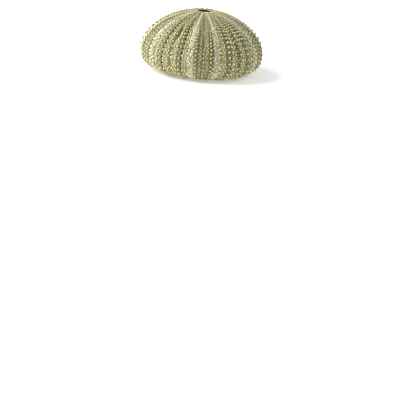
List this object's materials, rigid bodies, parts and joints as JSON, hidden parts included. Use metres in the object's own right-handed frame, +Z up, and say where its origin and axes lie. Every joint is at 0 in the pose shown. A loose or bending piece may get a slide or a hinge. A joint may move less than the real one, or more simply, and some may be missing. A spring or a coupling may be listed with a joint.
{
  "type": "sea urchin shell",
  "caption": "Empty domed sea urchin shell with beaded ribs, a small hole at the top and a wide mouth opening underneath.",
  "frame": {"origin": "on the resting plane, under the middle of the shell's bounding box", "axes": "+Z up through the top hole, -Y the front, +X to the right, the side the top leans to a little"},
  "size_m": [0.06, 0.0592, 0.0304],
  "materials": {
    "shell": "chalky calcite plates, pale green with cream beads"
  },
  "bodies": {
    "root": {"shell": "shell"}
  },
  "joints": []
}
